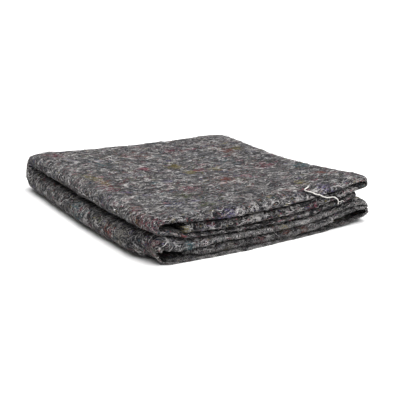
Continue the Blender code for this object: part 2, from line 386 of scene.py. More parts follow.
# %% Turn the sections into a soft surface
def half_section(y, half):
    """The middle line of one half's three stacks at y, as rows of x, z and thickness."""
    tucked, outer, _ = PANELS[half]
    left_roll, right_fold = SIDE_FOLDS[half]
    tucked_run = [panel_point(x, y, half, *tucked) for x in tucked_along]
    outer_run = [panel_point(x, y, half, *outer) for x in reversed(places_along)]
    under_run = [under_point(x, y, half) for x in under_along]
    return np.array(tucked_run + fold_arc(right_fold, tucked_run[-1], outer_run[0], y, half)
                    + outer_run + fold_arc(left_roll, outer_run[-1], under_run[0], y, half) + under_run)


def back_centre(x):
    """Where along y the last fold turns, for a place along x."""
    return PACKET_DEPTH - PACKET_HEIGHT / 2 - BACK_DRAWN_IN * (x / PACKET_WIDTH) ** 2


def straight_row(y, half):
    """One row of the net across the packet, in front of the last fold."""
    x, z, cloth = half_section(y, half).T
    return np.stack([x, back_centre(x) * y / DRIFTS[-1].y, z, cloth], axis=1)


def turned_row(angle):
    """One row of the net in the last fold, where the upper and the lower half meet."""
    share = (1 + math.sin(angle)) / 2
    high, low = half_section(DRIFTS[-1].y, "upper"), half_section(DRIFTS[-1].y, "lower")
    x, _, cloth = (high * share + low * (1 - share)).T
    radius, height = (high[:, 1] - low[:, 1]) / 2, (high[:, 1] + low[:, 1]) / 2
    y, z = back_centre(x) + radius * math.cos(angle), height + radius * math.sin(angle)
    return np.stack([x, y, z, cloth], axis=1)


def padded_net(net):
    """The net with one more row and column all round, in line with its last two."""
    net = np.concatenate([2 * net[:1] - net[1:2], net, 2 * net[-1:] - net[-2:-1]], axis=0)
    return np.concatenate([2 * net[:, :1] - net[:, 1:2], net, 2 * net[:, -1:] - net[:, -2:-1]], axis=1)


rows = [straight_row(row.y, "upper") for row in DRIFTS]
rows += [turned_row(math.pi / 2 - math.pi * step / BACK_STEPS) for step in range(1, BACK_STEPS)]
rows += [straight_row(row.y, "lower") for row in reversed(DRIFTS)]
NET = padded_net(np.array(rows) * MM + np.array([*SECTION_ORIGIN, 0.0]))
LAST_ROW, LAST_COLUMN = NET.shape[0] - 3, NET.shape[1] - 3


def spline_weights(t):
    """How much each of four neighbours counts at a share t between the middle two, and its slope."""
    second, third = 3 * t ** 3 - 6 * t ** 2 + 4, -3 * t ** 3 + 3 * t ** 2 + 3 * t + 1
    value = np.stack([(1 - t) ** 3, second, third, t ** 3])
    slope = np.stack([-3 * (1 - t) ** 2, 9 * t ** 2 - 12 * t, -9 * t ** 2 + 6 * t + 3, 3 * t ** 2])
    return value / 6, slope / 6


def strip_middle(column, row):
    """Place, thickness, and the two slopes of the strip's middle at places in the net."""
    i = np.clip(np.floor(column).astype(int), 0, LAST_COLUMN - 1)
    j = np.clip(np.floor(row).astype(int), 0, LAST_ROW - 1)
    along, along_slope = spline_weights(column - i)
    across, across_slope = spline_weights(row - j)
    near = NET[(j + np.arange(4)[:, None])[:, None, :], (i + np.arange(4)[:, None])[None, :, :]]
    value = np.einsum("bn,an,ban...->n...", across, along, near)
    by_column = np.einsum("bn,an,ban...->n...", across, along_slope, near)
    by_row = np.einsum("bn,an,ban...->n...", across_slope, along, near)
    return value[:, :3], value[:, 3], by_column[:, :3], by_row[:, :3]


print("net of", LAST_ROW + 1, "rows and", LAST_COLUMN + 1, "columns")

# %% [markdown]
# To lay a cloth on that surface, a distance on the cloth has to become a place in the net.
# So the net is measured once. Along the strip one row is enough. Across the strip each
# column is measured on its own, because a stack outside the last fold goes a longer way
# round it than one inside.

# %% Measure the strip
STEPS_PER_COLUMN, STEPS_PER_ROW, ACROSS_STEPS = 8, 12, 500
MEASURED_ROW = 3.0


def lengths(points):
    """How far each point lies from the first one, along the line through them."""
    steps = np.linalg.norm(np.diff(points, axis=-2), axis=-1)
    return np.concatenate([np.zeros_like(steps[..., :1]), np.cumsum(steps, axis=-1)], axis=-1)


column_steps = np.linspace(0, LAST_COLUMN, LAST_COLUMN * STEPS_PER_COLUMN + 1)
row_steps = np.linspace(0, LAST_ROW, LAST_ROW * STEPS_PER_ROW + 1)
along_steps = lengths(strip_middle(column_steps, np.full_like(column_steps, MEASURED_ROW))[0])
STRIP_LENGTH = along_steps[-1]
column_grid, row_grid = np.meshgrid(column_steps, row_steps, indexing="ij")
grid_places = strip_middle(column_grid.ravel(), row_grid.ravel())[0]
across_grid = lengths(grid_places.reshape(*column_grid.shape, 3))
across_total = across_grid[:, -1]
even_shares = np.linspace(0, 1, ACROSS_STEPS)
row_table = np.array([np.interp(even_shares * line[-1], line, row_steps) for line in across_grid])


def row_at(column, across):
    """The row of the net at a distance across the strip, at a column."""
    share = across / np.interp(column, column_steps, across_total)
    c = np.clip(column * STEPS_PER_COLUMN, 0, len(column_steps) - 1.001)
    k = np.clip(share * (ACROSS_STEPS - 1), 0, ACROSS_STEPS - 1.001)
    c0, k0 = c.astype(int), k.astype(int)
    c1, k1 = c - c0, k - k0
    near = row_table[c0, k0] * (1 - k1) + row_table[c0, k0 + 1] * k1
    far = row_table[c0 + 1, k0] * (1 - k1) + row_table[c0 + 1, k0 + 1] * k1
    return near * (1 - c1) + far * c1


def column_of(stack, place):
    """The net's column at a place along x in a stack, or at a share of the way round a side fold."""
    outer_first = len(tucked_along) + FOLD_STEPS
    under_first = outer_first + len(places_along) + FOLD_STEPS
    if stack == "tucked":
        return float(np.interp(place, tucked_along, np.arange(len(tucked_along))))
    if stack == "outer":
        from_left = np.interp(place, places_along, np.arange(len(places_along)))
        return float(outer_first + len(places_along) - 1 - from_left)
    if stack == "under":
        return float(under_first + np.interp(place, under_along, np.arange(len(under_along))))
    first = len(tucked_along) if stack == "right_fold" else under_first - FOLD_STEPS
    return first + (FOLD_STEPS - 1) * place


def along_at(stack, place):
    """How far along the strip that place lies, in metres."""
    return float(np.interp(column_of(stack, place), column_steps, along_steps))


print("strip", round(STRIP_LENGTH, 3), "m long")
print("and", across_total.min().round(3), "to", across_total.max().round(3), "m across")

# %% [markdown]
# Felt never lies like sheet metal. It sinks where nothing holds it up, and its folds are
# pressed in by hand. A few long waves, chosen by seed, and a short list of hollows are
# enough. They move every layer by its share of the height, so the layers keep their order.
# Three shifts more belong to this packet: its lower right front corner stands off the floor,
# its lower left front corner is drawn in, and its back bulges. Lists are in millimetres.

# %% Let the packet settle unevenly
WAVE_COUNT, WAVE_RANGE = 7, (0.7, 1.6)
Hollow = namedtuple("Hollow", "x y across depth")
HOLLOWS = [
    Hollow(x=199, y=4, across=9, depth=2.0),
    Hollow(x=120, y=9, across=16, depth=0.9),
    Hollow(x=262, y=16, across=20, depth=-0.5),
    Hollow(x=40, y=30, across=14, depth=0.9),
    Hollow(x=60, y=120, across=45, depth=1.4),
    Hollow(x=190, y=210, across=70, depth=1.6),
    Hollow(x=285, y=150, across=30, depth=1.2),
    Hollow(x=235, y=330, across=26, depth=1.4),
    Hollow(x=328, y=10, across=42, depth=-3.6),
]
FOOT_LIFT, FOOT_HEIGHT = 6.0, 30.0
FOOT_START, FOOT_SPAN = 262.0, 60.0
BACK_SPREAD, BACK_SPREAD_RIGHT = 8.0, 1.0
TOE_PLACES, TOE_SHIFTS = (0, 8, 20, 27, 34, 45), (8.0, 14.0, 15.0, 12.0, 4.0, 0.0)
TOE_HEIGHT, TOE_TOP, TOE_SPAN = 24.0, 1.3, 70.0
LEAST_SHARE, MOST_SHARE = 0.05, 1.2
LEAST_CLEARANCE = 0.0001
Wave = namedtuple("Wave", "size length steep seed")    # metres, metres, times, a number
RISE_WAVES = (Wave(0.00050, 0.055, 1, 3), Wave(0.00022, 0.021, 1, 4))
SIDEWAYS_WAVES = (Wave(0.0007, 0.060, 1, 5), Wave(0.0003, 0.018, 1, 6))
FORWARD_WAVES = (Wave(0.0005, 0.050, 4, 7), Wave(0.00025, 0.016, 5, 8))


def waves(x, y, wave_length, seed):
    """Smooth unevenness between about -1 and 1 whose waves have about this length."""
    picks = np.random.default_rng(seed)
    total = np.zeros_like(x)
    for _ in range(WAVE_COUNT):
        turn = picks.uniform(0, 2 * math.pi)
        count = 2 * math.pi / (wave_length * picks.uniform(*WAVE_RANGE))
        way = count * (x * math.cos(turn) + y * math.sin(turn))
        total += np.sin(way + picks.uniform(0, 2 * math.pi))
    return total / math.sqrt(WAVE_COUNT)


def uneven(x, y, kinds):
    """The sum of these kinds of waves, in metres. A steep kind changes faster along y."""
    return sum(kind.size * waves(x, kind.steep * y, kind.length, kind.seed) for kind in kinds)


def settled(place):
    """A place of the packet after the felt has sunk and bulged a little."""
    x, y, z = (place - np.array(SECTION_ORIGIN)).T
    high = np.clip(z / (PACKET_HEIGHT * MM), 0, MOST_SHARE)
    rise = uneven(x, y, RISE_WAVES)
    for hollow in HOLLOWS:
        distance = ((x - hollow.x * MM) ** 2 + (y - hollow.y * MM) ** 2) / (hollow.across * MM) ** 2
        rise -= hollow.depth * MM * np.exp(-distance) * high

    near_right = np.clip((x / MM - FOOT_START) / FOOT_SPAN, 0, 1)
    near_corner = near_right ** 2 * np.clip(1 - y / MM / FOOT_SPAN, 0, 1) ** 2
    foot = FOOT_LIFT * MM * near_corner * np.clip(1 - z / MM / FOOT_HEIGHT, 0, 1)
    rise += foot / np.maximum(high, LEAST_SHARE)

    to_right = np.clip(x / (PACKET_WIDTH * MM), 0, 1)
    spread = BACK_SPREAD + (BACK_SPREAD_RIGHT - BACK_SPREAD) * to_right
    spread = spread * MM * np.clip(y / (PACKET_DEPTH * MM), 0, 1) ** 2
    toe = np.interp(y / MM, TOE_PLACES, TOE_SHIFTS) * MM
    toe *= np.clip(TOE_TOP - z / MM / TOE_HEIGHT, 0, 1) * np.clip(1 - x / MM / TOE_SPAN, 0, 1) ** 2
    sideways = toe + uneven(y, z, SIDEWAYS_WAVES)
    forward = uneven(x, z, FORWARD_WAVES)
    place = place + np.stack([sideways, forward + spread, rise * high], axis=1)
    place[:, 2] = np.maximum(place[:, 2], FELT_THICKNESS / 2 + LEAST_CLEARANCE)
    return place


sample_x, sample_y = np.mgrid[0:0.3:40j, 0:0.3:40j]
print("the waves span", np.ptp(uneven(sample_x, sample_y, RISE_WAVES)).round(4), "m in height")

# %% [markdown]
# Now the rule that folds the flat cloth. The cloth is doubled in its length, with that fold
# at the loose ends on the right, and doubled in its width, with that fold at the open front
# of the upper half. So each stack has four plies: two outer ones and two between them. The
# cut edges meet at the front of the lower half, where the topmost ply of each stack hangs
# over the front as a soft hem. The tables of hems hold, for each place along a stack, how far
# the edge hangs in millimetres, how far it turns over in degrees, and how far forward it
# lies. Towards its creased and its cut edge a stack is pressed thinner, and droops with it.

# %% Fold the cloth by a rule
CLOTH_WIDTH, CLOTH_LENGTH = 1.5, 2.0
half_width, half_length = CLOTH_WIDTH / 2, CLOTH_LENGTH / 2
FELT_THICKNESS = 0.00105
CREASE_DEPTH = 1.0
END_TURN = 0.0013
HEM_BEND = 0.0021
HEM_FADE = 0.080
PLY_BACK, INNER_BACK = 0.0078, 0.001
LEAST_HANG = 0.002
RIM_SHARE = 0.47
RIM_REACH = 0.0064
RIM_DROOP = 0.78
EDGE_WAVES = (Wave(0.0009, 0.045, 0.3, 11), Wave(0.0004, 0.017, 0.3, 12))
INNER_WAVES = (Wave(0.0010, 0.06, 0.3, 13),)
Hem = namedtuple("Hem", "stack place hang sweep front")
OUTSIDE_HEMS = {
    "tucked": [
        (50, 0.5, 30, -9.0), (55, 1.6, 65, -5.0), (61, 3.6, 88, -2.6), (69, 5.0, 92, -1.8),
        (80, 6.0, 94, -1.6), (160, 6.0, 94, -1.6), (236, 6.0, 94, -1.2), (252, 6.4, 92, 0.6),
        (259, 5.2, 100, 1.8), (266, 4.2, 96, 2.4), (274, 2.6, 80, -0.5), (306, 2.6, 75, -0.8),
    ],
    "right_fold": [(0.5, 2.2, 75, -1.0)],
    "outer": [
        (304, 0.6, 40, -8.0), (278, 0.0, 0, -3.0), (250, 0.0, 0, 2.5), (200, 0.0, 0, 5.5),
        (150, 0.0, 0, 8.0), (130, 0.0, 0, 9.5), (90, 0.0, 0, 8.5), (60, 0.0, 0, 6.0),
        (30, 0.6, 20, 4.5),
    ],
    "left_roll": [(0.15, 1.2, 50, 0.0), (0.5, 1.4, 55, -3.0), (0.75, 7.5, 115, 3.0)],
    "under": [
        (16, 9.0, 120, 4.5), (30, 7.8, 92, 1.8), (48, 5.6, 90, 1.4), (62, 3.2, 92, 1.4),
        (88, 1.3, 92, 1.4), (155, 1.1, 90, 1.4), (226, 1.3, 90, 1.4), (262, 1.2, 88, 1.4),
        (284, 0.8, 60, 0.6), (306, 0.8, 40, 0.0), (318, 0.3, 30, -1.0),
    ],
}
INSIDE_HEMS = {
    "right_fold": [(0.6, 0.0, 0, -5.0)],
    "outer": [
        (296, 0.6, 40, -1.5), (270, 0.4, 30, -2.2), (230, 0.0, 0, -4.5), (70, 0.0, 0, -4.5),
        (50, 0.8, 50, 0.0), (26, 1.2, 60, 1.0),
    ],
    "left_roll": [(0.1, 0.0, 0, -9.0), (1.0, 0.0, 0, -9.0)],
    "under": [(60, 0.0, 0, -4.0)],
}


def by_stack(kind, table):
    """The rows of a table grouped by stack, each with its stack's name in front."""
    return [kind(stack, *row) for stack, rows in table.items() for row in rows]


def soft_step(share):
    """A share from 0 to 1 made level at both ends."""
    return share * share * (3 - 2 * share)


def unit(steps):
    """Steps in space, each made one metre long."""
    return steps / np.linalg.norm(steps, axis=1)[:, None]


def eased(place, stops, values):
    """Values that ease from one stop to the next, level at each stop."""
    index = np.clip(np.searchsorted(stops, place) - 1, 0, len(stops) - 2)
    share = soft_step(np.clip((place - stops[index]) / (stops[index + 1] - stops[index]), 0, 1))
    return values[index] * (1 - share) + values[index + 1] * share


def hem_at(along, side, outer):
    """How the cut edge hangs along the strip: straight length, bend and front, for each ply."""
    found = {}
    for name, scale in (("hang", MM), ("sweep", math.pi / 180), ("front", MM)):
        found[name] = []
        for hems in (by_stack(Hem, OUTSIDE_HEMS), by_stack(Hem, INSIDE_HEMS)):
            stops = np.array([along_at(hem.stack, hem.place) for hem in hems])
            values = np.array([getattr(hem, name) for hem in hems]) * scale
            found[name].append(eased(along, stops, values))
    hang, sweep, front = (np.where(side < 0, *found[name]) for name in ("hang", "sweep", "front"))
    wander = np.where(hang > LEAST_HANG, uneven(along, side, EDGE_WAVES) * outer, 0)
    hang = np.maximum(hang * outer + wander, 0)
    inner_front = np.minimum(-PLY_BACK, np.minimum(*found["front"]) - INNER_BACK)
    inner_front = inner_front + uneven(along, side, INNER_WAVES)
    return hang, sweep * outer, front * outer + inner_front * (1 - outer)


def folded(u, v):
    """Where the flat cloth's places lie once it is folded, before it has a thickness."""
    side = np.where(u < half_width, 1.0, -1.0)
    from_end = np.abs(v - half_length)
    turn_angle = np.clip(from_end / END_TURN, 0, math.pi / 2)
    past_turn = np.maximum(from_end - END_TURN * math.pi / 2, 0)
    stretch = (STRIP_LENGTH - END_TURN) / (half_length - END_TURN * math.pi / 2)
    along = STRIP_LENGTH - END_TURN + END_TURN * np.cos(turn_angle) - past_turn * stretch
    column = np.interp(along, along_steps, column_steps)
    outer = 0.5 + 0.5 * np.where(v < half_length, 1.0, -1.0) * np.sin(turn_angle)

    hang, sweep, front = hem_at(along, side, outer)
    zone = HEM_BEND * sweep + hang
    shift = front + zone - HEM_BEND * np.sin(sweep) - hang * np.cos(sweep)
    from_edge = half_width - np.abs(u - half_width)
    bent = np.maximum(zone - from_edge, 0)
    from_edge = np.maximum(from_edge, zone)
    from_bend = from_edge - zone
    from_crease = half_width - from_edge
    fade = soft_step(np.clip(1 - from_bend / HEM_FADE, 0, 1))

    across_whole = np.interp(column, column_steps, across_total)
    rough_row = row_at(column, across_whole * (1 - from_edge / half_width))
    loft = strip_middle(column, rough_row)[1] / 2
    near_rims = np.exp(-(from_crease / RIM_REACH) ** 2) + np.exp(-(from_bend / RIM_REACH) ** 2)
    thinned = (1 - RIM_SHARE) * loft * near_rims
    loft -= thinned + FELT_THICKNESS / 2
    height = loft * (1 + 2 * outer) / 3
    depth = CREASE_DEPTH * height
    rim = math.pi / 2 * np.sqrt((depth ** 2 + height ** 2) / 2)
    crease_angle = np.clip(from_crease / rim, 0, 1) * math.pi / 2
    past_crease = np.maximum(from_crease - rim, 0)
    across = (CREASE_DEPTH * (loft - height) + depth * (1 - np.cos(crease_angle))
              + past_crease * (across_whole - CREASE_DEPTH * loft) / (half_width - rim)
              + shift * fade)

    middle, _, by_column, by_row = strip_middle(column, row_at(column, across))
    facing, ahead = unit(np.cross(by_column, by_row)), unit(by_row)
    past_row = np.maximum(across - across_whole, 0)
    place = middle + ahead * past_row[:, None] + facing * (side * height * np.sin(crease_angle))[:, None]
    angle = np.minimum(bent / HEM_BEND, sweep)
    straight = np.maximum(bent - HEM_BEND * sweep, 0)
    forward = HEM_BEND * np.sin(angle) + straight * np.cos(sweep)
    downward = HEM_BEND * (1 - np.cos(angle)) + straight * np.sin(sweep)
    place += ahead * forward[:, None] - facing * (side * downward)[:, None]
    place[:, 2] -= RIM_DROOP * thinned
    return settled(place)


middle_place = folded(np.array([half_width / 2]), np.array([half_length / 2]))
print("a place in the middle of a quarter folds to", middle_place.round(4))

# %% [markdown]
# The cloth itself is a flat grid with one vertex for each crossing. Its lines lie close
# together where the cloth bends or shows, and far apart inside the packet, so the mesh is
# fine where it counts. The flat place of each vertex is kept as its UV, counted in lengths
# of 2 m, so the rows of stitches can run round the folds. Solidify adds the thickness.

# %% Cut the cloth and fold it
UV_METRES = 2.0
Stretch = namedtuple("Stretch", "start end shown hidden")
ALONG_STRETCHES = [
    Stretch(0.0, 0.010, 0.0020, 0.0033),
    Stretch(0.010, along_at("right_fold", 0.0) - 0.008, 0.0056, 0.016),
    Stretch(along_at("right_fold", 0.0) - 0.008, along_at("right_fold", 1.0) + 0.008, 0.0024, 0.0045),
    Stretch(along_at("right_fold", 1.0) + 0.008, along_at("left_roll", 0.0) - 0.010, 0.0044, 0.018),
    Stretch(along_at("left_roll", 0.0) - 0.010, along_at("left_roll", 1.0) + 0.010, 0.0023, 0.0045),
    Stretch(along_at("left_roll", 1.0) + 0.010, STRIP_LENGTH - 0.004, 0.0072, 0.018),
    Stretch(STRIP_LENGTH - 0.004, STRIP_LENGTH, 0.0007, 0.0007),
]
ACROSS_STRETCHES = [
    Stretch(0.0, 0.008, 0.0011, 0.0014),
    Stretch(0.008, 0.335, 0.0046, 0.026),
    Stretch(0.335, 0.425, 0.0047, 0.0075),
    Stretch(0.425, 0.670, 0.022, 0.030),
    Stretch(0.670, 0.735, 0.0075, 0.0110),
    Stretch(0.735, 0.750, 0.0014, 0.0016),
]


def grid_lines(stretches, spacing, whole):
    """Places of grid lines from 0 to the whole length, as close as each stretch asks."""
    lines = [0.0]
    scale = whole / stretches[-1].end
    for stretch in stretches:
        span = stretch.end - stretch.start
        count = max(round(span / getattr(stretch, spacing)), 1)
        lines += [(stretch.start + span * (step + 1) / count) * scale for step in range(count)]
    return np.array(lines)


across_shown = grid_lines(ACROSS_STRETCHES, "shown", half_width)
across_hidden = grid_lines(ACROSS_STRETCHES, "hidden", half_width)
u_lines = np.concatenate([half_width - across_hidden[:0:-1], half_width + across_shown])
along_shown = grid_lines(ALONG_STRETCHES, "shown", half_length)
along_hidden = grid_lines(ALONG_STRETCHES, "hidden", half_length)
v_lines = np.concatenate([along_shown, CLOTH_LENGTH - along_hidden[-2::-1]])


def corners_of(mesh):
    """The vertices' places of a mesh, as rows of x, y and z."""
    places = np.empty(len(mesh.vertices) * 3)
    mesh.vertices.foreach_get("co", places)
    return places.reshape(-1, 3)


def write_uv(mesh, name, values):
    """A UV map that gives each corner of each face its vertex's pair of values."""
    corners = np.empty(len(mesh.loops), int)
    mesh.loops.foreach_get("vertex_index", corners)
    mesh.uv_layers.new(name=name).data.foreach_set("uv", values[corners].ravel())


flat_shape = bmesh.new()
cells_across, cells_along = len(u_lines) - 1, len(v_lines) - 1
bmesh.ops.create_grid(flat_shape, x_segments=cells_across, y_segments=cells_along, size=0.5)
cloth_mesh = taken_mesh("folded_felt", flat_shape)
even = corners_of(cloth_mesh) + 0.5
flat_u = u_lines[np.rint(even[:, 0] * cells_across).astype(int)]
flat_v = v_lines[np.rint(even[:, 1] * cells_along).astype(int)]
cloth_mesh.vertices.foreach_set("co", folded(flat_u, flat_v).ravel())
write_uv(cloth_mesh, "flat", np.stack([flat_u, flat_v], axis=1) / UV_METRES)
cloth_mesh.shade_smooth()
cloth = add_object("folded_felt", cloth_mesh)
felt_wall = cloth.modifiers.new("felt", "SOLIDIFY")
felt_wall.thickness = FELT_THICKNESS
felt_wall.offset = 0.0
print(len(u_lines), "by", len(v_lines), "lines")
print(len(cloth_mesh.polygons), "faces before the felt has its thickness")

# %% [markdown]
# The felt is a heather: shredded clothes in every colour, mixed until they look grey, with
# wisps of paler fibre and small clouds of one dye. A chart of dyes with hard steps serves
# the clouds and the specks in the felt and the loose fibres, so it is a node group of its
# own. It takes a random value from 0 to 1 and gives the dye that owns that value.

# %% Mix the dyes
Dye = namedtuple("Dye", "start name colour")
DYES = [
    Dye(0.00, "charcoal", (0.045, 0.044, 0.050)), Dye(0.16, "slate", (0.105, 0.108, 0.125)),
    Dye(0.30, "ash", (0.26, 0.26, 0.265)), Dye(0.44, "oatmeal", (0.42, 0.40, 0.36)),
    Dye(0.55, "crimson", (0.36, 0.060, 0.110)), Dye(0.64, "brick", (0.34, 0.105, 0.070)),
    Dye(0.70, "ochre", (0.41, 0.345, 0.105)), Dye(0.76, "moss", (0.17, 0.200, 0.085)),
    Dye(0.81, "teal", (0.075, 0.210, 0.240)), Dye(0.87, "navy", (0.060, 0.085, 0.190)),
    Dye(0.92, "violet", (0.190, 0.150, 0.340)), Dye(0.96, "rose", (0.46, 0.200, 0.240)),
]


def new_group(name, inputs, outputs):
    """An empty shader node group with these sockets, and its input and output nodes."""
    group = bpy.data.node_groups.new(name, "ShaderNodeTree")
    for socket, kind, value in inputs:
        group.interface.new_socket(socket, in_out="INPUT", socket_type=kind).default_value = value
    for socket, kind in outputs:
        group.interface.new_socket(socket, in_out="OUTPUT", socket_type=kind)
    return group, group.nodes.new("NodeGroupInput"), group.nodes.new("NodeGroupOutput")


def add_node(tree, kind, links=(), **settings):
    """A node with its settings made, its inputs linked or given plain values."""
    node = tree.nodes.new(kind)
    for name, value in settings.items():
        setattr(node, name, value)
    for socket, source in dict(links).items():
        if hasattr(source, "is_linked"):
            tree.links.new(source, node.inputs[socket])
        else:
            node.inputs[socket].default_value = source
    return node


def add_math(tree, operation, *values):
    """The result of a Math node for these values or sockets."""
    return add_node(tree, "ShaderNodeMath", enumerate(values), operation=operation).outputs[0]


def add_sum(tree, *parts):
    """The sum of some sockets, each times its weight."""
    total = None
    for source, weight in parts:
        part = add_math(tree, "MULTIPLY", source, weight)
        total = part if total is None else add_math(tree, "ADD", total, part)
    return total


def add_mix(tree, factor, first, second, blend="MIX"):
    """The colour that a Mix node makes of two colours, whose sockets are numbers 6 and 7."""
    return add_node(tree, "ShaderNodeMix", {0: factor, 6: first, 7: second},
                    data_type="RGBA", blend_type=blend).outputs[2]


def add_fade(tree, value, low, high, start=0.0, end=1.0):
    """A value carried from one range to another with soft ends."""
    return add_node(tree, "ShaderNodeMapRange",
                    {"Value": value, "From Min": low, "From Max": high, "To Min": start, "To Max": end},
                    interpolation_type="SMOOTHSTEP").outputs["Result"]


def add_ramp(tree, value, steps, interpolation="LINEAR"):
    """The colour that a ramp with these steps gives a value."""
    node = add_node(tree, "ShaderNodeValToRGB", {"Fac": value})
    ramp = node.color_ramp
    ramp.interpolation = interpolation
    ramp.elements.remove(ramp.elements[1])
    ramp.elements[0].position = steps[0][0]
    ramp.elements[0].color = (*steps[0][1], 1.0)
    for start, colour in steps[1:]:
        ramp.elements.new(start).color = (*colour, 1.0)
    return node.outputs["Color"]


def add_dye(tree, pick):
    """The dye that the chart gives a random value."""
    return add_node(tree, "ShaderNodeGroup", {"Pick": pick}, node_tree=dye_group).outputs["Dye"]


dye_group, dye_in, dye_out = new_group("dye_chart", [("Pick", "NodeSocketFloat", 0.0)],
                                       [("Dye", "NodeSocketColor")])
dye_steps = [(dye.start, dye.colour) for dye in DYES]
chart = add_ramp(dye_group, dye_in.outputs["Pick"], dye_steps, interpolation="CONSTANT")
dye_group.links.new(chart, dye_out.inputs["Dye"])
print(len(DYES), "dyes")

# %% [markdown]
# The felt's look is built in layers, each at the size it has on the real cloth: grain of 1 to
# 2 mm, tufts and clumps of fibre, specks and clouds of one dye, pale wisps, rows of stitches
# 3.8 mm apart with painted shade in their grooves, and slow changes from darker to paler.
# All but the rows are read from the place in space, so nothing is drawn out on the rolls at
# the sides, where the cloth goes a longer way round. Only the rows follow the cloth, by its
# flat UV.

# %% Make the felt
FELT_ROUGHNESS = 0.96
STITCH_ROW_PITCH = 0.00375
ROW_WANDER_SIZE, ROW_WANDER = 0.012, 0.0022
GRAIN_SIZE, TUFT_SIZE, CLUMP_SIZE, SLOW_SIZE = 0.0016, 0.0033, 0.0075, 0.045
GRAIN_WEIGHT, TUFT_WEIGHT, CLUMP_WEIGHT = 0.34, 0.40, 0.26
COMBED, CURLED, CLOUDED, CURL_TURN = 0.88, 0.75, 0.6, 0.30
CLOUD_SIZE, SPECK_SIZE, RAG_SIZE = 0.011, 0.0026, 0.0030
WISP_COLOUR, WISP_SHARE = (0.44, 0.43, 0.425, 1.0), 0.80
# Painted shade in the grooves of the stitch rows: a near-black colour, and how much of it goes in at a
# groove's deepest.
GROOVE_SHADE_COLOUR, GROOVE_SHADE_SHARE = (0.030, 0.030, 0.034, 1.0), 0.35
SLOW_COLOURS = ((0.86, 0.86, 0.87, 1.0), (1.13, 1.12, 1.10, 1.0))
HEATHER = [
    (0.40, (0.008, 0.008, 0.010)), (0.46, (0.012, 0.012, 0.014)), (0.50, (0.034, 0.033, 0.035)),
    (0.545, (0.074, 0.071, 0.072)), (0.61, (0.212, 0.204, 0.206)),
]


def felt_place(tree, combed, turn=0.0):
    """The place in the felt in metres. A combed share below 1 makes patterns longer along x."""
    place = add_node(tree, "ShaderNodeTexCoord").outputs["Object"]
    return add_node(tree, "ShaderNodeMapping",
                    {"Vector": place, "Scale": (combed, 1.0, 1.0), "Rotation": (0.0, 0.0, turn)},
                    vector_type="POINT").outputs["Vector"]


def add_noise(tree, place, size, detail=2.0, distortion=0.0, rough=0.5):
    """Noise whose features have about this size in metres."""
    return add_node(tree, "ShaderNodeTexNoise",
                    {"Vector": place, "Scale": 1 / size, "Detail": detail, "Distortion": distortion,
                     "Roughness": rough}, noise_dimensions="3D").outputs["Fac"]


def finish(tree, shader, colour, relief, depth, strength, settings):
    """Gives a shader its colour, a relief this many metres deep, and plain settings."""
    bump = add_node(tree, "ShaderNodeBump", {"Height": relief, "Distance": depth, "Strength": strength})
    tree.links.new(colour, shader.inputs["Base Color"])
    tree.links.new(bump.outputs["Normal"], shader.inputs["Normal"])
    for socket, value in settings.items():
        shader.inputs[socket].default_value = value


def add_wisps(tree, place, size, thin, distortion):
    """Thin bright lines where noise crosses its middle, broken up by more noise."""
    field = add_noise(tree, place, size, detail=1.5, distortion=distortion)
    offset = add_math(tree, "ABSOLUTE", add_math(tree, "SUBTRACT", field, 0.5))
    line = add_fade(tree, offset, thin, 0.0)
    broken = add_fade(tree, add_noise(tree, place, size * 0.9, detail=1.0), 0.47, 0.60)
    return add_math(tree, "MULTIPLY", line, broken)


def add_cells(tree, place, size, channel):
    """Cells of one dye each: the dye, how far a place is from its cell's middle, and a random value."""
    cells = add_node(tree, "ShaderNodeTexVoronoi",
                     {"Vector": place, "Scale": 1 / size, "Randomness": 1.0},
                     voronoi_dimensions="3D", feature="F1")
    pick = add_node(tree, "ShaderNodeSeparateColor", {"Color": cells.outputs["Color"]})
    dye = add_dye(tree, pick.outputs[channel])
    return dye, cells.outputs["Distance"], pick.outputs["Green"]


def add_dyed(tree, coloured, combed, curled):
    """The heather with ragged clouds of dye in it, and small specks of dye over them."""
    dye, distance, chance = add_cells(tree, felt_place(tree, CLOUDED), CLOUD_SIZE, "Red")
    cloud = add_fade(tree, distance, 0.62, 0.10)
    ragged = add_noise(tree, curled, RAG_SIZE, detail=2.0, distortion=1.0)
    share = add_math(tree, "MULTIPLY", cloud, add_fade(tree, ragged, 0.40, 0.62))
    share = add_math(tree, "MULTIPLY", share, add_fade(tree, chance, 0.35, 1.0, 0.10, 0.62))
    coloured = add_mix(tree, share, coloured, dye)
    dye, distance, chance = add_cells(tree, combed, SPECK_SIZE, "Blue")
    speck = add_fade(tree, distance, 0.60, 0.20)
    share = add_math(tree, "MULTIPLY", speck, add_fade(tree, chance, 0.25, 1.0, 0.0, 0.45))
    return add_mix(tree, share, coloured, dye)


def add_stitch_rows(tree, even_place):
    """How deep a place lies in the groove of a row of stitches, from 0 to 1."""
    wander = add_noise(tree, even_place, ROW_WANDER_SIZE, detail=1.0)
    flat = add_node(tree, "ShaderNodeUVMap", uv_map="flat").outputs["UV"]
    across = add_node(tree, "ShaderNodeSeparateXYZ", {"Vector": flat}).outputs["X"]
    across = add_sum(tree, (across, UV_METRES), (wander, ROW_WANDER))
    turns = add_math(tree, "MULTIPLY", across, 2 * math.pi / STITCH_ROW_PITCH)
    return add_fade(tree, add_math(tree, "SINE", turns), 0.45, 1.0)


